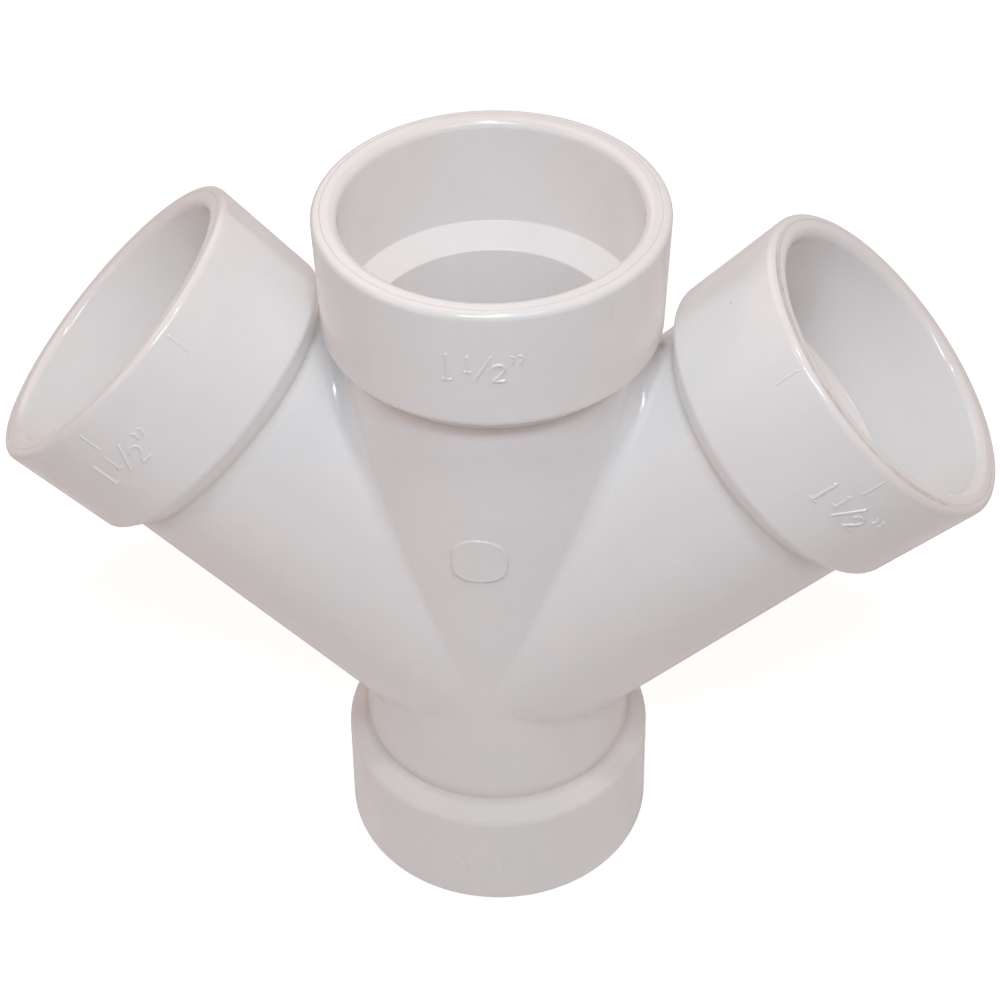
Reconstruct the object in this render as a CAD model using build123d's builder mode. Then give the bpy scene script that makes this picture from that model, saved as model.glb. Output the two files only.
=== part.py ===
from build123d import *
from math import cos, radians, sin
import os

os.makedirs("parts", exist_ok=True)

# ---------------------------------------------------------------------------
# 1-1/2 in double wye for solvent-welded drainage pipe, moulded in one piece.
# Frame: millimetres, +Z up along the run. The origin is the centre of the
# bottom socket's mouth, which is also the face the fitting stands on.
# The two branches leave the run at 45 degrees, in the XZ plane.
# ---------------------------------------------------------------------------

# pipe that the sockets take
pipe_outer_d = 48.26            # 1.900 in pipe

# socket
socket_r = 24.19                # bore of the socket, 0.06 mm clear of the pipe all round
socket_depth = 19.6             # mouth plane to the start of the seat
seat_end_depth = 23.2           # mouth plane to where the seat meets the waterway
waterway_r = 20.45              # 1.61 in waterway

# hub, outside
hub_mouth_r = 28.4              # at the mouth plane
hub_back_r = 27.83              # where the wall turns into the shoulder
hub_wall_len = 21.25            # mouth plane to that corner
foot_back_r = 28.1              # the bottom hub has less draft than the other three
tube_r = 24.5                   # outside of the plain tube
shoulder_len = 3.35             # the shoulder cone, measured along the axis

# edges
mouth_outer_round = 1.15        # outside edge of each mouth
mouth_inner_round = 1.5         # lead-in of each socket
shoulder_round = 1.5            # wall to shoulder, outside
shoulder_root = 0.6             # shoulder to tube, hollow fillet
seat_round = 0.45               # both edges of the conical seat

# layout
run_height = 137.3              # mouth to mouth along the run
crossing_z = 47.0               # height at which the three axes meet
branch_len = 90.55              # axes' meeting point to a branch mouth
branch_angle = 45.0             # from the run

# rounding where the outside of a branch meets the run
fork_round = 2.4                # in the two upper forks
heel_round = 5.0                # under the two branches

# moulding gate, cut off nearly flush on the front of the run
gate_z = 83.9
gate_r = 4.6
gate_proud = 0.35

# raised size marks on the front of every hub, 1 1/2", and the alignment ticks
mark_proud = 0.27               # above the hub wall
stroke = 0.45                   # width of a stroke
tick_top, tick_end = 1.9, 6.0   # depth of an alignment tick below the mouth
foot_tick_drop = 0.9            # the bottom hub's tick is this much deeper
tick_turn = 45.0                # second tick, round the hub from the first

EY = Vector(0, 1, 0)
UP = Vector(0, 0, 1)


def tilted(angle):
    """Unit vector in the XZ plane, at an angle from +Z towards +X."""
    return Vector(0, 0, 1).rotate(Axis.Y, angle)


crossing = Vector(0, 0, crossing_z)
dir_top = UP
dir_bottom = UP * -1
dir_right = tilted(branch_angle)
dir_left = tilted(-branch_angle)

mouth_top = Vector(0, 0, run_height)
mouth_bottom = Vector(0, 0, 0)
mouth_right = crossing + dir_right * branch_len
mouth_left = crossing + dir_left * branch_len


def socket_plane(mouth, direction):
    """Sketch plane through a socket's axis: local x is the radius, local y the
    depth, measured from the mouth into the fitting."""
    inward = direction * -1
    return Plane(origin=mouth, x_dir=EY, z_dir=EY.cross(inward))


def outer_profile(back_r, tube_end):
    """Half section of a hub, its shoulder and its tube, solid to the axis."""
    root = hub_wall_len + shoulder_len
    with BuildSketch() as section:
        with BuildLine():
            Polyline(
                (0, 0),
                (hub_mouth_r, 0),
                (back_r, hub_wall_len),
                (tube_r, root),
                (tube_r, tube_end),
                (0, tube_end),
                close=True,
            )
        make_face()
        rim = section.vertices().filter_by(lambda v: v.X > tube_r + 0.1 and v.Y < 1)
        fillet(rim, radius=mouth_outer_round)
        corner = section.vertices().filter_by(
            lambda v: v.X > tube_r + 0.1 and abs(v.Y - hub_wall_len) < 0.01
        )
        fillet(corner, radius=shoulder_round)
        hollow = section.vertices().filter_by(
            lambda v: v.X > tube_r - 0.1 and abs(v.Y - root) < 0.01
        )
        fillet(hollow, radius=shoulder_root)
    return section.sketch


def bore_profile(tube_end):
    """Half section of the space inside: lead-in, socket, seat and waterway."""
    lead = mouth_inner_round
    with BuildSketch() as section:
        with BuildLine():
            Polyline((0, lead), (0, -1), (socket_r + lead, -1), (socket_r + lead, 0))
            RadiusArc((socket_r + lead, 0), (socket_r, lead), lead)
            Polyline(
                (socket_r, lead),
                (socket_r, socket_depth),
                (waterway_r, seat_end_depth),
                (waterway_r, tube_end),
                (0, tube_end),
                (0, lead),
            )
        make_face()
        seat = section.vertices().filter_by(
            lambda v: v.X > waterway_r - 0.1
            and (abs(v.Y - socket_depth) < 0.01 or abs(v.Y - seat_end_depth) < 0.01)
        )
        fillet(seat, radius=seat_round)
    return section.sketch


# strokes of the size marks with the hub's mouth held up:
# x to the right, y up from the mouth plane
size_strokes = (
    # 1
    ((-4.00, -7.80), (-4.00, -12.50)),
    ((-4.38, -8.12), (-4.00, -7.80)),
    ((-4.57, -12.52), (-3.36, -12.52)),
    # 1 of the fraction
    ((-0.76, -7.80), (-0.76, -10.65)),
    ((-1.10, -8.08), (-0.76, -7.80)),
    ((-1.20, -10.70), (-0.34, -10.70)),
    # fraction bar
    ((0.28, -12.30), (2.82, -7.65)),
    # 2 of the fraction
    ((2.86, -10.10), (3.12, -9.52), (3.75, -9.28), (4.48, -9.40), (4.88, -9.95)),
    ((4.88, -9.95), (4.62, -10.75), (3.85, -11.65), (3.06, -12.45), (4.88, -12.45)),
    # inch mark
    ((5.92, -7.72), (6.26, -8.12), (6.04, -9.00)),
    ((7.22, -7.72), (7.58, -8.15), (7.27, -9.25)),
)


def marks(mouth, direction, turn, strokes, back_r):
    """Raised strokes on one hub's wall, as separate solids that run into it.
    turn is the angle round the hub, to the right with the mouth held up."""
    angle = radians(turn)
    right = direction.cross(EY * -1)
    outward = EY * -cos(angle) + right * sin(angle)
    around = EY * sin(angle) + right * cos(angle)
    slope = (hub_mouth_r - back_r) / hub_wall_len
    with BuildPart() as raised:
        with BuildSketch(Plane(origin=mouth, x_dir=around, z_dir=outward)):
            for points in strokes:
                with BuildLine():
                    Polyline(*points)
                trace(line_width=stroke)
        extrude(amount=40)
        with BuildSketch(socket_plane(mouth, direction)):
            with BuildLine():
                Polyline(
                    (27.0, 1.6),
                    (hub_mouth_r + mark_proud - 1.6 * slope, 1.6),
                    (hub_mouth_r + mark_proud - 14.5 * slope, 14.5),
                    (27.0, 14.5),
                    close=True,
                )
            make_face()
        revolve(axis=Axis(mouth, direction), mode=Mode.INTERSECT)
    return raised.part


# half sections, each turned about its own socket's axis
foot_outside = outer_profile(foot_back_r, crossing_z)
head_outside = outer_profile(hub_back_r, run_height - crossing_z)
branch_outside = outer_profile(hub_back_r, branch_len)
foot_inside = bore_profile(crossing_z)
head_inside = bore_profile(run_height - crossing_z)
branch_inside = bore_profile(branch_len)

# raised marks: sizes and first ticks on the front, second ticks round the side
tick = ((0, -tick_top), (0, -tick_end))
foot_tick = ((0, -tick_top - foot_tick_drop), (0, -tick_end - foot_tick_drop))
raised_marks = [
    marks(mouth_top, dir_top, 0, size_strokes + (tick,), hub_back_r),
    marks(mouth_top, dir_top, tick_turn, (tick,), hub_back_r),
    marks(mouth_right, dir_right, 0, size_strokes + (tick,), hub_back_r),
    marks(mouth_right, dir_right, -tick_turn, (tick,), hub_back_r),
    marks(mouth_left, dir_left, 0, size_strokes + (tick,), hub_back_r),
    marks(mouth_left, dir_left, tick_turn, (tick,), hub_back_r),
    marks(mouth_bottom, dir_bottom, 0, size_strokes + (foot_tick,), foot_back_r),
]

with BuildPart() as double_wye_body:
    # outside: the two ends of the run, then the two branches
    for mouth, direction, section in (
        (mouth_bottom, dir_bottom, foot_outside),
        (mouth_top, dir_top, head_outside),
        (mouth_right, dir_right, branch_outside),
        (mouth_left, dir_left, branch_outside),
    ):
        with BuildSketch(socket_plane(mouth, direction)):
            add(section)
        revolve(axis=Axis(mouth, direction))

    # the front half is finished first: its tubes meet along four quarter
    # ellipses, rounded hollow, two in the upper forks and two at the heels
    split(bisect_by=Plane.XZ, keep=Keep.TOP)
    meetings = double_wye_body.edges().filter_by(GeomType.ELLIPSE)
    fillet(meetings.filter_by(lambda e: e.center().Z > crossing_z), radius=fork_round)
    meetings = double_wye_body.edges().filter_by(GeomType.ELLIPSE)
    fillet(meetings.filter_by(lambda e: e.center().Z < crossing_z), radius=heel_round)
    plain_back = mirror(about=Plane.XZ, mode=Mode.PRIVATE)

    # the stub left by the moulding gate: a flat disc on the front of the run
    gate_plane = Plane(
        origin=(0, -(tube_r + gate_proud), gate_z), x_dir=(1, 0, 0), z_dir=(0, -1, 0)
    )
    with BuildSketch(gate_plane):
        Circle(gate_r)
    extrude(amount=-2.0)

    # the raised marks, then the plain back half
    for raised in raised_marks:
        for one in raised.solids():
            add(one, clean=False)
    add(plain_back, clean=False)

    # inside: sockets, seats and waterways, in the same order as the outside
    for mouth, direction, section in (
        (mouth_bottom, dir_bottom, foot_inside),
        (mouth_top, dir_top, head_inside),
        (mouth_right, dir_right, branch_inside),
        (mouth_left, dir_left, branch_inside),
    ):
        with BuildSketch(socket_plane(mouth, direction)):
            add(section)
        revolve(axis=Axis(mouth, direction), mode=Mode.SUBTRACT)

print("volume mm3", round(double_wye_body.part.volume, 1), "solids", len(double_wye_body.solids()))
print("box", double_wye_body.part.bounding_box())
double_wye_body.part.label = "double_wye_body"
export_step(double_wye_body.part, "parts/double_wye_body.step")
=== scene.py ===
import math

import bpy
import numpy as np
from mathutils import Matrix, Vector


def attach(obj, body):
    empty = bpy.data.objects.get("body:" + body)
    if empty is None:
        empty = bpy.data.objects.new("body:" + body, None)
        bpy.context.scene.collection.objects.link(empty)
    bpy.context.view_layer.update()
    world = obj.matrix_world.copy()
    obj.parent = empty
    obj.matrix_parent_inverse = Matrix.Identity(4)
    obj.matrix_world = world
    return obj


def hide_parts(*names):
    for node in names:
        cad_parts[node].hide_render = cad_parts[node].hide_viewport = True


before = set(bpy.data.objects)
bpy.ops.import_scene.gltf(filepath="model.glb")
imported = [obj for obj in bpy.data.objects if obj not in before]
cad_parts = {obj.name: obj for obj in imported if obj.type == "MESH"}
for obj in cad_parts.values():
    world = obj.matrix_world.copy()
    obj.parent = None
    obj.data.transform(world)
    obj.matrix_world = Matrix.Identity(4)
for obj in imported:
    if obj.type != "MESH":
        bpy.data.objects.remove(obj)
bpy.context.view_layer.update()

# ---------------------------------------------------------------------------
# The body: one closed skin, worked out in millimetres in the row frame and
# turned into metres at the end.  Every arm is a grid of rows (along the arm,
# over the mouth and back down the socket) and columns (round the arm).  The
# arms share the vertices where their tubes meet.
# ---------------------------------------------------------------------------

CROSS = np.array([0.0, 0.0, 47.0])
TUBE_R = 24.5
WAY_R = 20.45
SOCKET_R = 24.19
COLS = 128
FORK_ROUND = 2.4
HEEL_ROUND = 5.0
BORE_ROUND = 0.45

# name, angle from +Z towards +X, crossing to mouth, radius at the back of the hub
ARMS = (
    ("top", 0.0, 90.3, 27.83),
    ("right", 45.0, 90.55, 27.83),
    ("bottom", 180.0, 47.0, 28.1),
    ("left", 315.0, 90.55, 27.83),
)
EY = np.array([0.0, 1.0, 0.0])


def arm_axes(angle):
    a = math.radians(angle)
    d = np.array([math.sin(a), 0.0, math.cos(a)])
    n = np.array([math.cos(a), 0.0, -math.sin(a)])
    return d, n


DIRS = [arm_axes(a[1]) for a in ARMS]


def meeting(i, side):
    """Neighbour of arm i on its + or - side, and the cotangent of half the angle between them."""
    j = (i + side) % 4
    gap = abs(ARMS[j][1] - ARMS[i][1]) % 360.0
    gap = min(gap, 360.0 - gap)
    return j, 1.0 / math.tan(math.radians(gap / 2)), gap


# ------------------------------------------------------------------ profile


def rounded(points, radii, line_steps, arc_steps):
    """Rows (r, depth, normal r, normal depth) along a polyline with rounded corners."""
    rows = []
    P = [np.array(p, float) for p in points]
    at = P[0]
    for k in range(1, len(P)):
        t = (P[k] - P[k - 1]) / np.linalg.norm(P[k] - P[k - 1])
        n = np.array([-t[1], t[0]])
        end = P[k]
        last = k == len(P) - 1
        if not last:
            t2 = (P[k + 1] - P[k]) / np.linalg.norm(P[k + 1] - P[k])
            turn = math.acos(float(np.clip(t @ t2, -1, 1)))
            cut = radii[k] * math.tan(turn / 2)
            end = P[k] - t * cut
        for q in line_steps[k - 1]:
            p = at + (end - at) * q
            rows.append((p[0], p[1], n[0], n[1]))
        if last:
            rows.append((end[0], end[1], n[0], n[1]))
            break
        n2 = np.array([-t2[1], t2[0]])
        # centre of the arc lies against the normal on a convex corner
        sgn = -1.0 if float(n @ t2) < 0 else 1.0
        centre = end + n * radii[k] * sgn
        m = arc_steps[k]
        for q in range(m):
            w = q / m
            ang = turn * w
            nn = (n * math.sin(turn - ang) + n2 * math.sin(ang)) / math.sin(turn)
            p = centre - nn * radii[k] * sgn
            rows.append((p[0], p[1], nn[0], nn[1]))
        at = P[k] + t2 * cut
    return np.array(rows)


def even(n):
    return [q / n for q in range(n)]


def hub_rows(back_r):
    """From the end of the tube outside, over the shoulder, wall and mouth, down the socket to the waterway."""
    pts = [
        (TUBE_R, 25.2),
        (TUBE_R, 24.6),
        (back_r, 21.25),
        (28.4, 0.0),
        (SOCKET_R, 0.0),
        (SOCKET_R, 19.6),
        (WAY_R, 23.2),
        (WAY_R, 24.4),
    ]
    radii = [0, 0.6, 1.5, 1.15, 1.5, 0.45, 0.45, 0]
    rim = [0.0, 0.10, 0.56, 0.74, 0.90]
    lines = [even(1), even(3), even(17), rim, even(8), even(3), even(1)]
    arcs = [0, 3, 5, 8, 8, 4, 4, 0]
    rows = rounded(pts, radii, lines, arcs)
    # a fine turned line round the rim, where the mould's parts met
    groove = np.array(
        [
            (27.00, 0.0, 0.0, -1.0),
            (26.92, 0.025, -0.34, -0.94),
            (26.85, 0.040, 0.0, -1.0),
            (26.78, 0.025, 0.34, -0.94),
            (26.70, 0.0, 0.0, -1.0),
        ]
    )
    at = int(np.argmax((rows[:, 1] < 1e-6) & (rows[:, 0] < 26.6)))
    return np.insert(rows, at, groove, axis=0)


# ------------------------------------------------- tubes where they meet


def two_tubes(p, i, j, radius, rho):
    """Signed distance outside the rounded union of two tubes."""
    rel = p - CROSS
    di, dj = DIRS[i][0], DIRS[j][0]
    vi = rel - (rel @ di)[:, None] * di
    vj = rel - (rel @ dj)[:, None] * dj
    li, lj = np.linalg.norm(vi, axis=1), np.linalg.norm(vj, axis=1)
    a, b = li - radius, lj - radius
    c = np.sum(vi * vj, axis=1) / (li * lj)
    A, B = a - rho, b - rho
    inside = (A - c * B <= 0) & (B - c * A <= 0) & (1 - c * c > 1e-5)
    s2 = np.where(inside, 1 - c * c, 1.0)
    q = np.sqrt(np.maximum((A * A + B * B - 2 * c * A * B) / s2, 1e-12))
    return np.where(inside, rho - q, np.minimum(a, b)), inside


def gradient(p, i, j, radius, rho):
    g = np.zeros_like(p)
    for k in range(3):
        e = np.zeros(3)
        e[k] = 1e-3
        g[:, k] = (
            two_tubes(p + e, i, j, radius, rho)[0]
            - two_tubes(p - e, i, j, radius, rho)[0]
        ) / 2e-3
    return g


def settle(p, i, j, radius, rho):
    """Moves points onto the rounded union, and gives its outward normals."""
    p = p.copy()
    for _ in range(9):
        f, _inside = two_tubes(p, i, j, radius, rho)
        g = gradient(p, i, j, radius, rho)
        p -= g * (f / np.maximum(np.sum(g * g, axis=1), 1e-9))[:, None]
    g = gradient(p, i, j, radius, rho)
    return p, g / np.linalg.norm(g, axis=1)[:, None]


def tube_points(i, q, th, start, radius, rounds):
    """Points on arm i's tube for the row share q in 0..1 (0 where the tubes meet, 1 at s=start) and angle th."""
    d, n = DIRS[i]
    out_p = np.zeros((len(q), 3))
    out_n = np.zeros((len(q), 3))
    for side in (1, -1):
        j, cot, gap = meeting(i, side)
        mask = th >= 0 if side == 1 else th < 0
        if not mask.any():
            continue
        t, f = th[mask], q[mask]
        low = radius * np.abs(np.sin(t)) * cot
        s = low + (start - low) * f
        radial = -np.cos(t)[:, None] * EY + np.sin(t)[:, None] * n
        p = CROSS + s[:, None] * d + radius * radial
        rho = rounds[0] if gap < 90 else rounds[1]
        near = (s - low) < 14.0
        pn = radial.copy()
        if near.any():
            pp, nn = settle(p[near], i, j, radius, rho)
            p[near], pn[near] = pp, nn
        out_p[mask], out_n[mask] = p, pn
    return out_p, out_n


# --------------------------------------------------------- raised marks

# strokes of the size marks, (u, depth) in mm: u is round the hub to the right
# with the mouth held up, depth is down from the mouth; then half width, height
STROKES = (
    # the large 1
    (((-4.00, 7.80), (-4.00, 12.40)), 0.23, 0.265),
    (((-4.34, 8.12), (-4.00, 7.80)), 0.20, 0.14),
    (((-4.52, 12.55), (-4.00, 12.62), (-3.40, 12.50)), 0.21, 0.265),
    # the small raised 1
    (((-0.76, 7.85), (-0.74, 10.60)), 0.21, 0.25),
    (((-1.08, 8.10), (-0.76, 7.85)), 0.18, 0.12),
    (((-1.18, 10.72), (-0.74, 10.78), (-0.36, 10.70)), 0.19, 0.25),
    # the fraction bar
    (((0.30, 12.25), (2.80, 7.70)), 0.21, 0.255),
    # the 2
    (
        (
            (2.88, 10.05),
            (3.12, 9.55),
            (3.72, 9.30),
            (4.42, 9.38),
            (4.84, 9.85),
            (4.80, 10.35),
            (4.45, 10.95),
            (3.80, 11.65),
            (3.12, 12.40),
            (3.90, 12.48),
            (4.84, 12.42),
        ),
        0.21,
        0.265,
    ),
    # the inch mark, two small curled strokes
    (((5.90, 7.78), (6.24, 7.98), (6.26, 8.40), (6.02, 8.98)), 0.22, 0.24),
    (((7.22, 7.78), (7.56, 7.98), (7.56, 8.50), (7.26, 9.22)), 0.22, 0.24),
)
TICK = (((0.0, 2.0), (0.0, 5.95)), 0.19, 0.18)
# angle round the hub of the second tick
SECOND_TICK = {"top": 45.0, "left": 45.0, "right": -45.0}


def ridge(u, v, path, half, height):
    """Rounded raised line along a path, as a height over (u, v)."""
    best = np.full(u.shape, 1e9)
    for (u0, v0), (u1, v1) in zip(path[:-1], path[1:]):
        du, dv = u1 - u0, v1 - v0
        t = np.clip(((u - u0) * du + (v - v0) * dv) / (du * du + dv * dv), 0, 1)
        best = np.minimum(best, np.hypot(u - u0 - t * du, v - v0 - t * dv))
    x = np.clip((best - 0.35 * half) / (1.45 * half - 0.35 * half), 0, 1)
    return height * (0.5 + 0.5 * np.cos(np.pi * x))


def mark_height(name, th, depth, r):
    """Height of the marks on a hub's wall, in mm."""
    u = th * r
    h = np.zeros(u.shape)
    for path, half, height in STROKES:
        h = np.maximum(h, ridge(u, depth, path, half, height))
    tick, half, height = TICK
    if name == "bottom":
        # worn almost away
        h = 0.45 * h
        tick = tuple((a, b + 0.9) for a, b in tick)
        height = 0.4 * height
    if name == "top":
        # its first tick is scraped down to a broad low pad
        half, height = 0.62, 0.05
    h = np.maximum(h, ridge(u, depth, tick, half, height))
    tick, half, height = TICK
    if name in SECOND_TICK:
        c = math.radians(SECOND_TICK[name])
        h = np.maximum(h, ridge((th - c) * r, depth, tick, half, 0.8 * height))
    return h


GATE_Z, GATE_R, GATE_FACE = 83.9, 4.6, 24.85


def gate_rise(x, z):
    """How far the cut-off stub stands out along -Y over the tube, in mm."""
    dx, dz = x, z - GATE_Z
    rad = np.hypot(dx, dz)
    ang = np.arctan2(dz, dx)
    # a little squarer than a circle, and cut by hand
    square = (np.abs(np.cos(ang)) ** 2.35 + np.abs(np.sin(ang)) ** 2.35) ** (-1 / 2.35)
    edge = 4.72 * square + 0.05 * np.sin(2 * ang + 0.6) + 0.045 * np.sin(3 * ang + 2.1)
    edge = edge + 0.03 * np.sin(7 * ang + 1.0) + 0.018 * np.sin(13 * ang + 4.0)
    w = np.clip((edge + 0.08 - rad) / 0.24, 0, 1)
    mask = w * w * (3 - 2 * w)
    flat = GATE_FACE - np.sqrt(np.maximum(TUBE_R**2 - x**2, 0))
    lip = -0.07 * (1 - np.exp(-(((rad - edge + 0.36) / 0.17) ** 2)))
    lip = lip * (0.7 + 0.3 * np.sin(2 * ang + 1.0))
    tilt = 0.012 * dx / GATE_R - 0.02 * dz / GATE_R - 0.02
    return mask * np.maximum(flat + lip + tilt, 0.02)


# --------------------------------------------------------------- the skin


class Skin:
    def __init__(self):
        self.p, self.n, self.faces = [], [], []

    def add(self, p, n):
        first = sum(len(x) for x in self.p)
        self.p.append(np.asarray(p, float).reshape(-1, 3))
        self.n.append(np.asarray(n, float).reshape(-1, 3))
        return first


OUT_ROWS = {"top": 34, "right": 34, "left": 34, "bottom": 16}
IN_ROWS = {"top": 18, "right": 18, "left": 18, "bottom": 12}
OUT_POWER, IN_POWER = 1.55, 1.25
FINE = 10
FINE_TUBE = 16
PROFILES = {a[0]: hub_rows(a[3]) for a in ARMS}


class Arm:
    """One arm's rows: outside tube, hub profile, waterway."""

    def __init__(self, i):
        self.i = i
        self.name, _angle, self.length, _b = ARMS[i]
        self.prof = PROFILES[self.name]
        self.ko = OUT_ROWS[self.name]
        self.ki = IN_ROWS[self.name]
        self.kp = len(self.prof) - 1
        self.rows = self.ko + self.kp + self.ki + 1

    def evaluate(self, q, th):
        """Points and normals for row coordinates q and angles th (radians, -pi..pi)."""
        q = np.asarray(q, float)
        th = np.asarray(th, float)
        p = np.zeros((len(q), 3))
        n = np.zeros((len(q), 3))
        d, nd = DIRS[self.i]
        a = q <= self.ko
        b = (q > self.ko) & (q < self.ko + self.kp)
        c = q >= self.ko + self.kp
        if a.any():
            start = self.length - self.prof[0][1]
            share = (q[a] / self.ko) ** OUT_POWER
            pp, nn = tube_points(
                self.i, share, th[a], start, TUBE_R, (FORK_ROUND, HEEL_ROUND)
            )
            if self.name == "top":
                pp, nn = self.gate(pp, nn)
            p[a], n[a] = pp, nn
        if b.any():
            k = q[b] - self.ko
            x = np.arange(self.kp + 1)
            r = np.interp(k, x, self.prof[:, 0])
            dep = np.interp(k, x, self.prof[:, 1])
            nr = np.interp(k, x, self.prof[:, 2])
            nz = np.interp(k, x, self.prof[:, 3])
            ln = np.hypot(nr, nz)
            nr, nz = nr / ln, nz / ln
            radial = -np.cos(th[b])[:, None] * EY + np.sin(th[b])[:, None] * nd
            around = np.sin(th[b])[:, None] * EY + np.cos(th[b])[:, None] * nd
            normal = nr[:, None] * radial - nz[:, None] * d
            wall = (dep > 1.2) & (dep < 19.5) & (r > 27.0)
            e = 0.02
            h = np.where(wall, mark_height(self.name, th[b], dep, r), 0)
            hu = np.where(
                wall,
                mark_height(self.name, th[b] + e / r, dep, r)
                - mark_height(self.name, th[b] - e / r, dep, r),
                0,
            ) / (2 * e)
            hv = np.where(
                wall,
                mark_height(self.name, th[b], dep + e, r)
                - mark_height(self.name, th[b], dep - e, r),
                0,
            ) / (2 * e)
            pos = CROSS + (self.length - dep)[:, None] * d + (r + h)[:, None] * radial
            normal = normal - hu[:, None] * around + hv[:, None] * d
            p[b] = pos
            n[b] = normal / np.linalg.norm(normal, axis=1)[:, None]
        if c.any():
            start = self.length - self.prof[-1][1]
            share = ((self.rows - 1 - q[c]) / self.ki) ** IN_POWER
            pp, nn = tube_points(
                self.i, share, th[c], start, WAY_R, (BORE_ROUND, BORE_ROUND)
            )
            p[c], n[c] = pp, -nn
        return p, n

    def gate(self, p, n):
        near = (np.abs(p[:, 0]) < 6) & (p[:, 1] < 0) & (np.abs(p[:, 2] - GATE_Z) < 6)
        if near.any():
            x, z = p[near, 0], p[near, 2]
            e = 0.02
            h = gate_rise(x, z)
            gx = (gate_rise(x + e, z) - gate_rise(x - e, z)) / (2 * e)
            gz = (gate_rise(x, z + e) - gate_rise(x, z - e)) / (2 * e)
            # the base as y = -f(x): its slope, with the rise added
            base = np.sqrt(np.maximum(TUBE_R**2 - x**2, 1e-6))
            slope = -x / base
            nn = np.stack([-(slope + gx), -np.ones_like(x), -gz], axis=1)
            p[near, 1] -= h
            n[near] = nn / np.linalg.norm(nn, axis=1)[:, None]
        return p, n


def signed_angle(c):
    """Angle of column coordinate c (0..COLS), from -pi to pi."""
    t = 2 * np.pi * np.asarray(c, float) / COLS
    return np.where(t > np.pi + 1e-12, t - 2 * np.pi, t)


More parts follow.
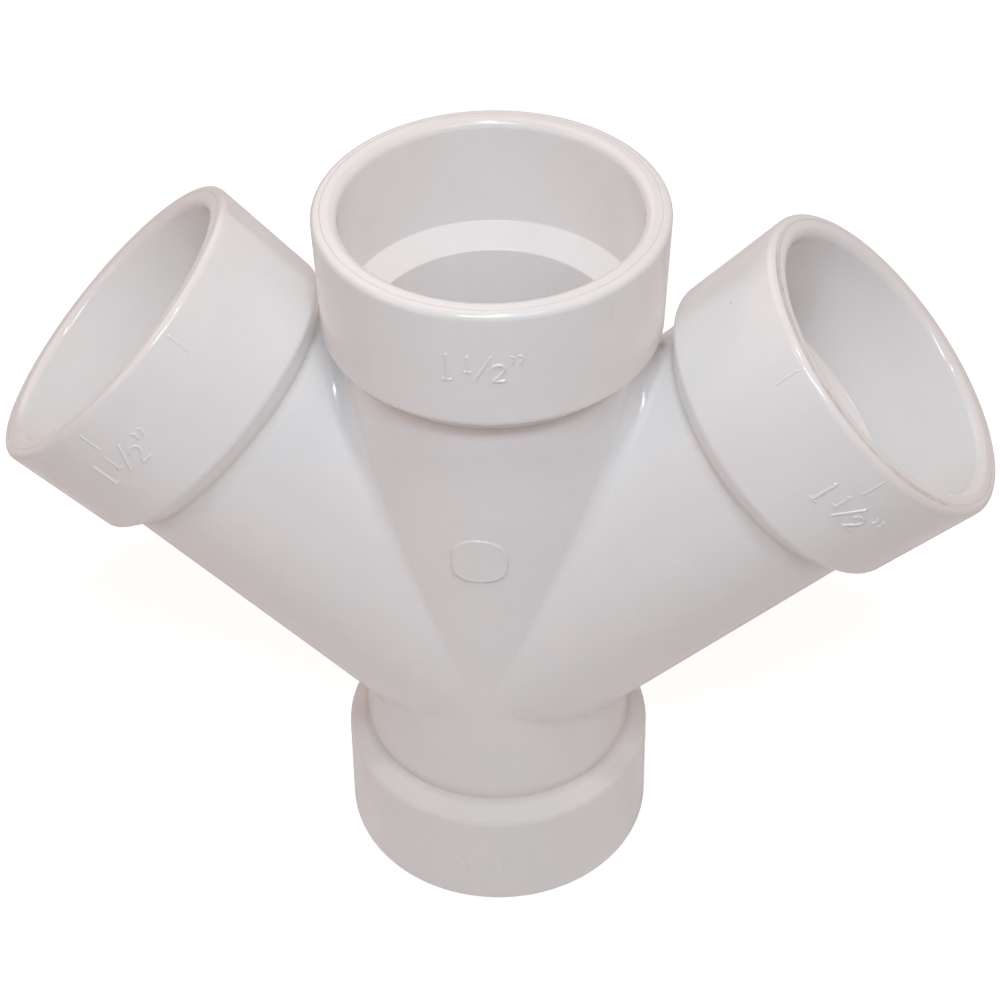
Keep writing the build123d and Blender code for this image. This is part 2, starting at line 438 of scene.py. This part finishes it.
def build_skin():
    skin = Skin()
    arms = [Arm(i) for i in range(4)]
    half = COLS // 2
    grids = [np.full((a.rows, COLS), -1, int) for a in arms]

    # the lines where tubes meet, outside and in
    for which in ("out", "in"):
        row = {i: 0 if which == "out" else arms[i].rows - 1 for i in range(4)}
        # front and back points, shared by all four
        for col in (0, half):
            p, n = arms[0].evaluate([row[0]], signed_angle([col]))
            p[0, 0], p[0, 2] = 0.0, CROSS[2]
            idx = skin.add(p, n)
            for i in range(4):
                grids[i][row[i], col] = idx
        for i in range(4):
            j = (i + 1) % 4
            cols = np.arange(1, half)
            p, n = arms[i].evaluate(np.full(len(cols), row[i]), signed_angle(cols))
            idx = skin.add(p, n)
            grids[i][row[i], cols] = idx + np.arange(len(cols))
            grids[j][row[j], COLS - cols] = idx + np.arange(len(cols))

    # every other row
    for i, a in enumerate(arms):
        rows = np.arange(1, a.rows - 1)
        R, C = np.meshgrid(rows, np.arange(COLS), indexing="ij")
        p, n = a.evaluate(R.ravel().astype(float), signed_angle(C.ravel()))
        idx = skin.add(p, n)
        grids[i][1:-1, :] = idx + np.arange(len(p)).reshape(R.shape)

    # cells that carry marks are divided finely
    for i, a in enumerate(arms):
        grid = grids[i]
        fine = np.zeros((a.rows - 1, COLS), bool)
        probe = (np.arange(6) + 0.5) / 6
        for r in range(a.rows - 1):
            if r >= a.ko + a.kp:
                break
            hub = r >= a.ko
            for c in range(COLS):
                th = signed_angle([c + 0.5])[0]
                if abs(th) > math.radians(60):
                    continue
                qq, cc = np.meshgrid(r + probe, c + probe, indexing="ij")
                qq, cc = qq.ravel(), cc.ravel()
                tt = signed_angle(cc)
                if hub:
                    k = qq - a.ko
                    dep = np.interp(k, np.arange(a.kp + 1), a.prof[:, 1])
                    rr = np.interp(k, np.arange(a.kp + 1), a.prof[:, 0])
                    if dep.min() < 1.2 or dep.max() > 19.5 or rr.min() < 27:
                        continue
                    if mark_height(a.name, tt, dep, rr).max() > 1e-4:
                        fine[r, c] = True
                elif a.name == "top":
                    start = a.length - a.prof[0][1]
                    low = TUBE_R * np.abs(np.sin(tt)) * meeting(i, 1)[1]
                    s = low + (start - low) * (qq / a.ko) ** OUT_POWER
                    x, z = TUBE_R * np.sin(tt), CROSS[2] + s
                    if np.hypot(x, z - GATE_Z).min() < GATE_R + 0.70:
                        fine[r, c] = True

        def steps(r):
            return FINE if r >= a.ko else FINE_TUBE

        # fine vertices, keyed by exact position in the grid
        keys = {}
        want_q, want_c = [], []

        def vertex(r, j, c, k):
            """Vertex of row r + j/steps, column c + k/FINE."""
            m = steps(r)
            if j == m:
                r, j = r + 1, 0
            if k == FINE:
                c, k = (c + 1) % COLS, 0
            if j == 0 and k == 0:
                return grid[r, c]
            m = steps(r)
            key = (r, j, c, k) if j else (r, 0, c, k)
            if key not in keys:
                keys[key] = len(want_q)
                want_q.append(r + (j / m if j else 0.0))
                want_c.append(c + k / FINE)
            return -1 - keys[key]

        faces = []
        centres_q, centres_c = [], []
        for r in range(a.rows - 1):
            for c in range(COLS):
                c2 = (c + 1) % COLS
                if fine[r, c]:
                    m = steps(r)
                    for j in range(m):
                        for k in range(FINE):
                            faces.append(
                                (
                                    vertex(r, j, c, k),
                                    vertex(r, j, c, k + 1),
                                    vertex(r, j + 1, c, k + 1),
                                    vertex(r, j + 1, c, k),
                                )
                            )
                    continue
                below = r > 0 and fine[r - 1, c]
                above = r + 1 < a.rows - 1 and fine[r + 1, c]
                left = fine[r, (c - 1) % COLS]
                right = fine[r, c2]
                if not (below or above or left or right):
                    faces.append((grid[r, c], grid[r, c2], grid[r + 1, c2], grid[r + 1, c]))
                    continue
                m = steps(r)
                loop = [grid[r, c]]
                if below:
                    loop += [vertex(r, 0, c, k) for k in range(1, FINE)]
                loop.append(grid[r, c2])
                if right:
                    loop += [vertex(r, j, c2, 0) for j in range(1, m)]
                loop.append(grid[r + 1, c2])
                if above:
                    loop += [vertex(r + 1, 0, c, k) for k in range(FINE - 1, 0, -1)]
                loop.append(grid[r + 1, c])
                if left:
                    loop += [vertex(r, j, c, 0) for j in range(m - 1, 0, -1)]
                centre = ("centre", len(centres_q))
                centres_q.append(r + 0.5)
                centres_c.append(c + 0.5)
                for t in range(len(loop)):
                    faces.append((loop[t], loop[(t + 1) % len(loop)], centre))
        base = centre_base = 0
        if want_q:
            p, n = a.evaluate(want_q, signed_angle(want_c))
            base = skin.add(p, n)
        if centres_q:
            p, n = a.evaluate(centres_q, signed_angle(centres_c))
            centre_base = skin.add(p, n)
        for f in faces:
            out = []
            for v in f:
                if isinstance(v, tuple):
                    v = centre_base + v[1]
                elif v < 0:
                    v = base + (-1 - v)
                out.append(int(v))
            skin.faces.append(tuple(out))
        print(a.name, "fine cells", int(fine.sum()), "rows", a.rows)
    return np.concatenate(skin.p), np.concatenate(skin.n), skin.faces


points, normals, faces = build_skin()
triangles = sum(len(f) - 2 for f in faces)
print("vertices", len(points), "faces", len(faces), "triangles", triangles)
print("skin box mm", points.min(0).round(3), points.max(0).round(3))

mesh = bpy.data.meshes.new("wye_skin")
mesh.from_pydata((points * 0.001).tolist(), [], faces)
mesh.update()
mesh.shade_smooth()
mesh.normals_split_custom_set_from_vertices(normals.tolist())
skin_obj = bpy.data.objects.new("wye_skin", mesh)
bpy.context.scene.collection.objects.link(skin_obj)
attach(skin_obj, "root")
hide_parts("double_wye_body")

# ----------------------------------------------------------------- material

# where each point lies on its hub, and where painted shade darkens the shoulder roots, for the material


def surface_fields(p):
    """Hub radius and depth in mm, wear of the right rim, painted shade at the shoulder roots, and the right
    heel's scuff with painted shade along its crease (0 to 1).
    """
    radius = np.zeros(len(p))
    mouth_depth = np.full(len(p), 99.0)
    worn = np.zeros(len(p))
    shade_and_dirt = np.zeros(len(p))
    for k, (name, _angle, length, _b) in enumerate(ARMS):
        d, n = DIRS[k]
        rel = p - CROSS
        s = rel @ d
        perp = rel - s[:, None] * d
        r = np.linalg.norm(perp, axis=1)
        depth = length - s
        turn = np.degrees(np.arctan2(perp @ n, -perp[:, 1]))
        own = (depth < 25.0) & (depth > -0.1) & (r < 28.7)
        radius[own] = r[own]
        mouth_depth[own] = depth[own]
        # painted shade: a brownish dark band in the crease at each shoulder root, where the hub's shadow falls
        root = np.exp(-(((depth - 24.75) / 0.5) ** 2)) * (np.abs(r - 24.7) < 0.7)
        shade_and_dirt = np.maximum(shade_and_dirt, 0.8 * root)
        if name == "right":
            spread = np.exp(-(((turn + 35.0) / 70.0) ** 4))
            worn[own] = spread[own]
    # the right heel's scuff: rougher and bumpier, and darkened along the heel crease as painted shade
    heel = p - np.array([9.9, -23.0, 45.2])
    along = heel @ np.array([0.80, 0.0, -0.60])
    across = heel @ np.array([0.60, 0.0, 0.80])
    front = p[:, 1] < -15.0
    scuff_and_shade = np.exp(-((along / 6.5) ** 4) - ((across / 1.5) ** 2)) * front
    return radius, mouth_depth, worn, shade_and_dirt, scuff_and_shade


for label, field in zip(
    ("hub_radius", "mouth_depth", "worn", "root_shade", "scuff_and_shade"), surface_fields(points)
):
    held = mesh.attributes.new(label, "FLOAT", "POINT")
    held.data.foreach_set("value", field.astype(np.float32))

white = bpy.data.materials.new("pvc_white")
white.use_nodes = True
nt = white.node_tree
bsdf = nt.nodes["Principled BSDF"]
bsdf.inputs["IOR"].default_value = 1.53


def node(kind, x, y, **values):
    made = nt.nodes.new(kind)
    made.location = (x, y)
    for key, value in values.items():
        if key in made.inputs:
            made.inputs[key].default_value = value
        else:
            setattr(made, key, value)
    return made


def link(a, b):
    nt.links.new(a, b)


def noise(scale, detail, rough, x, y, source, distortion=0.0):
    made = node("ShaderNodeTexNoise", x, y)
    made.inputs["Scale"].default_value = scale
    made.inputs["Detail"].default_value = detail
    made.inputs["Roughness"].default_value = rough
    made.inputs["Distortion"].default_value = distortion
    link(source, made.inputs["Vector"])
    return made


def ramp(source, low, high, to_low, to_high, x, y):
    made = node("ShaderNodeMapRange", x, y)
    made.clamp = True
    made.inputs["From Min"].default_value = low
    made.inputs["From Max"].default_value = high
    made.inputs["To Min"].default_value = to_low
    made.inputs["To Max"].default_value = to_high
    link(source, made.inputs["Value"])
    return made.outputs["Result"]


def maths(op, a, b, x, y):
    made = node("ShaderNodeMath", x, y)
    made.operation = op
    for k, v in enumerate((a, b)):
        if isinstance(v, (int, float)):
            made.inputs[k].default_value = v
        else:
            link(v, made.inputs[k])
    return made.outputs[0]


def blend(a, b, factor, x, y, mode="MIX"):
    made = node("ShaderNodeMix", x, y)
    made.data_type = "RGBA"
    made.blend_type = mode
    if isinstance(factor, (int, float)):
        made.inputs["Factor"].default_value = factor
    else:
        link(factor, made.inputs["Factor"])
    for name, v in (("A", a), ("B", b)):
        socket = [q for q in made.inputs if q.name == name and q.type == "RGBA"][0]
        if isinstance(v, tuple):
            socket.default_value = v
        else:
            link(v, socket)
    return [q for q in made.outputs if q.type == "RGBA"][0]


place = node("ShaderNodeTexCoord", -1600, 0).outputs["Object"]

# colour: the compound is a touch uneven, cloudy over centimetres and finely
# mottled over millimetres
cloud = noise(55.0, 2.0, 0.5, -1300, 300, place, 0.6)
mottle = noise(420.0, 4.0, 0.62, -1300, 60, place, 0.2)
flow_map = node("ShaderNodeMapping", -1500, -260)
flow_map.inputs["Scale"].default_value = (1.0, 1.0, 0.22)
link(place, flow_map.inputs["Vector"])
flow = noise(240.0, 2.0, 0.5, -1300, -200, flow_map.outputs["Vector"], 0.2)

tint = blend(
    (0.905, 0.880, 0.872, 1),
    (0.885, 0.878, 0.880, 1),
    ramp(cloud.outputs["Fac"], 0.36, 0.64, 0.0, 1.0, -1080, 300),
    -860,
    300,
)
tint = blend(
    tint,
    (0.82, 0.795, 0.785, 1),
    ramp(mottle.outputs["Fac"], 0.36, 0.72, 0.0, 0.24, -1080, 80),
    -640,
    260,
)
tint = blend(
    tint,
    (0.93, 0.915, 0.91, 1),
    ramp(flow.outputs["Fac"], 0.35, 0.72, 0.0, 0.24, -1080, -160),
    -440,
    220,
)

# sparse dark specks moulded into the surface
speck = node("ShaderNodeTexVoronoi", -1300, -460)
speck.inputs["Scale"].default_value = 210.0
link(place, speck.inputs["Vector"])
pick = node("ShaderNodeSeparateColor", -1080, -520)
link(speck.outputs["Color"], pick.inputs["Color"])
dot = ramp(speck.outputs["Distance"], 0.03, 0.055, 1.0, 0.0, -1080, -380)
few = ramp(pick.outputs[0], 0.955, 0.96, 0.0, 1.0, -900, -520)
dark = maths("MULTIPLY", dot, few, -720, -420)
tint = blend(tint, (0.42, 0.36, 0.31, 1), maths("MULTIPLY", dark, 0.7, -560, -420), -240, 180)

# painted shade in the crease at each shoulder root, and dirt on the line round every rim and in the rougher lines
# and nicks round the near side of the right rim


def field(label, y):
    made = node("ShaderNodeAttribute", -1900, y)
    made.attribute_name = label
    return made.outputs["Fac"]


def rim_line(at, half, soft, x, y):
    off = maths("ABSOLUTE", maths("SUBTRACT", wavy, at, x, y), 0.0, x + 150, y)
    return ramp(off, half, half + soft, 1.0, 0.0, x + 300, y)


patchy = noise(700.0, 3.0, 0.6, -1300, -900, place, 0.4)
nick = noise(260.0, 4.0, 0.65, -1300, -2050, place, 0.3)
sway = ramp(nick.outputs["Fac"], 0.3, 0.7, -0.10, 0.10, -1700, -2050)
wavy = maths("ADD", field("hub_radius", -2100), sway, -1600, -2100)
on_rim = ramp(field("mouth_depth", -2250), 0.25, 0.45, 1.0, 0.0, -1600, -2250)
worn = field("worn", -2400)
fine_line = maths("MULTIPLY", rim_line(26.85, 0.02, 0.10, -1450, -2100), 0.42, -1000, -2100)
rough_lines = maths("MAXIMUM", rim_line(27.30, 0.05, 0.16, -1450, -2250), rim_line(26.60, 0.03, 0.12, -1450, -2400), -1000, -2300)
rough_lines = maths("MULTIPLY", rough_lines, ramp(nick.outputs["Fac"], 0.38, 0.52, 0.35, 1.0, -1200, -2500), -850, -2300)
rough_lines = maths("MULTIPLY", rough_lines, worn, -700, -2300)
lines = maths("MULTIPLY", maths("MAXIMUM", fine_line, rough_lines, -600, -2200), on_rim, -500, -2200)
nicks = maths("MULTIPLY", rough_lines, ramp(nick.outputs["Fac"], 0.58, 0.66, 0.0, 1.0, -1000, -2600), -700, -2500)
dirt = maths("ADD", lines, maths("MULTIPLY", nicks, on_rim, -600, -2450), -400, -2350)
broken = ramp(patchy.outputs["Fac"], 0.30, 0.70, 0.55, 0.85, -1080, -900)
# painted shade at the shoulder roots, broken up, joined below with the real rim dirt
shade_and_dirt = maths("MULTIPLY", field("root_shade", -720), broken, -860, -760)
shade_and_dirt = maths("MAXIMUM", shade_and_dirt, maths("MULTIPLY", dirt, 1.2, -800, -850), -700, -760)
# brown mixed into the colour: painted shade at the shoulder roots and real dirt on the rims
tint = blend(tint, (0.40, 0.31, 0.22, 1), maths("MULTIPLY", shade_and_dirt, 0.72, -640, -700), -40, 140)
# painted shade along the right heel crease, darkening the scuffed patch
scuff_and_shade = maths("MULTIPLY", field("scuff_and_shade", -2600), ramp(patchy.outputs["Fac"], 0.3, 0.65, 0.5, 1.0, -1200, -2700), -1000, -2600)
tint = blend(tint, (0.70, 0.66, 0.64, 1), maths("MULTIPLY", scuff_and_shade, 0.30, -640, -2600), 100, 140)
link(tint, bsdf.inputs["Base Color"])

# gloss: mostly shiny, duller where handled
handled = noise(38.0, 4.0, 0.6, -1300, -1120, place, 0.8)
gloss = ramp(handled.outputs["Fac"], 0.35, 0.7, 0.08, 0.13, -1080, -1120)
fine = ramp(mottle.outputs["Fac"], 0.3, 0.7, -0.01, 0.03, -860, -1000)
gloss = maths("ADD", gloss, fine, -640, -1080)
gloss = maths("ADD", gloss, maths("MULTIPLY", shade_and_dirt, 0.35, -640, -900), -440, -1000)
gloss = maths("ADD", gloss, maths("MULTIPLY", scuff_and_shade, 0.30, -440, -900), -300, -1000)
link(gloss, bsdf.inputs["Roughness"])

# the mould's own finish: long shallow waves, a fine grain, a few draw lines
wave = noise(75.0, 2.0, 0.5, -1300, -1340, place, 0.3)
grain = noise(1900.0, 3.0, 0.6, -1300, -1560, place)
draw_map = node("ShaderNodeMapping", -1500, -1800)
draw_map.inputs["Scale"].default_value = (1.0, 1.0, 0.02)
link(place, draw_map.inputs["Vector"])
draw = noise(900.0, 2.0, 0.5, -1300, -1780, draw_map.outputs["Vector"])
b1 = node("ShaderNodeBump", -640, -1340)
b1.inputs["Strength"].default_value = 0.35
b1.inputs["Distance"].default_value = 0.00012
link(wave.outputs["Fac"], b1.inputs["Height"])
b2 = node("ShaderNodeBump", -440, -1440)
b2.inputs["Strength"].default_value = 0.20
b2.inputs["Distance"].default_value = 0.00002
link(grain.outputs["Fac"], b2.inputs["Height"])
link(b1.outputs["Normal"], b2.inputs["Normal"])
b3 = node("ShaderNodeBump", -240, -1540)
b3.inputs["Strength"].default_value = 0.12
b3.inputs["Distance"].default_value = 0.00002
link(draw.outputs["Fac"], b3.inputs["Height"])
link(b2.outputs["Normal"], b3.inputs["Normal"])
# rough skin on the scuffed heel, a ridge and pits along the dirty rim lines
grit = maths("SUBTRACT", patchy.outputs["Fac"], 0.5, -840, -1700)
rough_map = maths("ADD", maths("MULTIPLY", scuff_and_shade, grit, -640, -1700), lines, -440, -1700)
b4 = node("ShaderNodeBump", -40, -1600)
b4.inputs["Strength"].default_value = 0.6
b4.inputs["Distance"].default_value = 0.00012
b4.invert = True
link(rough_map, b4.inputs["Height"])
link(b3.outputs["Normal"], b4.inputs["Normal"])
link(b4.outputs["Normal"], bsdf.inputs["Normal"])
skin_obj.data.materials.append(white)

# -------------------------------------------------------------------- stage

floor_mesh = bpy.data.meshes.new("floor")
w = 3.0
floor_mesh.from_pydata([(-w, -w, 0), (w, -w, 0), (w, w, 0), (-w, w, 0)], [], [(0, 1, 2, 3)])
floor = bpy.data.objects.new("floor", floor_mesh)
bpy.context.scene.collection.objects.link(floor)
pale = bpy.data.materials.new("pale_floor")
pale.use_nodes = True
pb = pale.node_tree.nodes["Principled BSDF"]
pb.inputs["Base Color"].default_value = (0.93, 0.93, 0.93, 1)
pb.inputs["Roughness"].default_value = 0.9
pb.inputs["Specular IOR Level"].default_value = 0.1
pb.inputs["Emission Color"].default_value = (0.95, 0.98, 1.0, 1)
# The floor is lifted towards white where it is seen, not where it lights the part.
seen = pale.node_tree.nodes.new("ShaderNodeLightPath")
lift = pale.node_tree.nodes.new("ShaderNodeMath")
lift.operation = "MULTIPLY"
lift.inputs[1].default_value = 0.70
pale.node_tree.links.new(seen.outputs["Is Camera Ray"], lift.inputs[0])
pale.node_tree.links.new(lift.outputs[0], pb.inputs["Emission Strength"])
floor.data.materials.append(pale)

world = bpy.data.worlds.new("world")
bpy.context.scene.world = world
world.use_nodes = True
bg = world.node_tree.nodes["Background"]
bg.inputs["Color"].default_value = (1, 1, 1, 1)
seen = world.node_tree.nodes.new("ShaderNodeLightPath")
world.node_tree.links.new(seen.outputs["Is Camera Ray"], bg.inputs["Strength"])

# ------------------------------------------------------------------- camera

AZ, EL, DIST, ROLL = 7.564, 41.706, 387.335, 1.589
TX, TZ, FOCAL, U0, V0 = -6.006, 78.68, 2229.177, 460.538, 483.796


def place_camera():
    az, el, roll = math.radians(AZ), math.radians(EL), math.radians(ROLL)
    back = Vector((math.sin(az) * math.cos(el), -math.cos(az) * math.cos(el), math.sin(el)))
    forward = -back
    right = forward.cross(Vector((0, 0, 1))).normalized()
    down = forward.cross(right)
    r2 = math.cos(roll) * right + math.sin(roll) * down
    d2 = -math.sin(roll) * right + math.cos(roll) * down
    at = (Vector((TX, 0, TZ)) + back * DIST) * 0.001
    cam = bpy.data.cameras.new("camera")
    cam.sensor_width = 36.0
    cam.lens = 36.0 * FOCAL / 1000.0
    cam.shift_x = (500 - U0) / 1000.0
    cam.shift_y = (V0 - 500) / 1000.0
    cam.clip_start, cam.clip_end = 0.01, 20.0
    obj = bpy.data.objects.new("camera", cam)
    bpy.context.scene.collection.objects.link(obj)
    m = Matrix(
        (
            (r2.x, -d2.x, back.x, at.x),
            (r2.y, -d2.y, back.y, at.y),
            (r2.z, -d2.z, back.z, at.z),
            (0, 0, 0, 1),
        )
    )
    obj.matrix_world = m
    bpy.context.scene.camera = obj
    return obj, back


camera, back = place_camera()


def area(name, azimuth, elevation, distance, size, watts, height=0.0):
    """A soft light that looks at the middle of the part, round or, with a height, a
    level strip; watts is its red, green and blue."""
    top = max(watts)
    light = bpy.data.lights.new(name, "AREA")
    light.shape = "RECTANGLE" if height else "DISK"
    light.size = size
    if height:
        light.size_y = height
    light.energy = top
    light.color = [c / top for c in watts]
    obj = bpy.data.objects.new(name, light)
    bpy.context.scene.collection.objects.link(obj)
    a, e = math.radians(azimuth), math.radians(elevation)
    v = Vector((math.sin(a) * math.cos(e), -math.cos(a) * math.cos(e), math.sin(e)))
    level = Vector((math.cos(a), math.sin(a), 0))
    up = v.cross(level)
    at = Vector((0, 0, 0.08)) + v * distance
    obj.matrix_world = Matrix(
        (
            (level.x, up.x, v.x, at.x),
            (level.y, up.y, v.y, at.y),
            (level.z, up.z, v.z, at.z),
            (0, 0, 0, 1),
        )
    )
    obj.visible_camera = False
    return obj


area("key_strip", 15, 56, 0.50, 0.34, (0.544, 0.506, 0.555), 0.04)
area("near_strip", 0, 58, 0.32, 0.10, (0.115, 0.164, 0.189), 0.03)
area("flash", 8, 49, 0.45, 0.02, (0.034, 0.034, 0.034))
area("strip_left_end", -12, 56, 0.50, 0.012, (0.009, 0.009, 0.009))
area("strip_right_end", 47, 53, 0.50, 0.012, (0.009, 0.009, 0.009))
area("top", 10, 75, 0.50, 0.05, (0.398, 0.375, 0.336))
area("left_low", -60, 35, 0.50, 0.12, (0.208, 0.112, 0.077))
area("right_soft", 90, 45, 0.80, 0.90, (0.982, 0.566, 0.343))
area("back_left_soft", -135, 45, 0.80, 0.90, (2.253, 1.842, 1.725))
area("back_right_soft", 135, 10, 0.80, 0.90, (1.091, 1.042, 1.093))

view = bpy.context.scene.view_settings
view.view_transform = "Standard"
view.gamma = 1.4
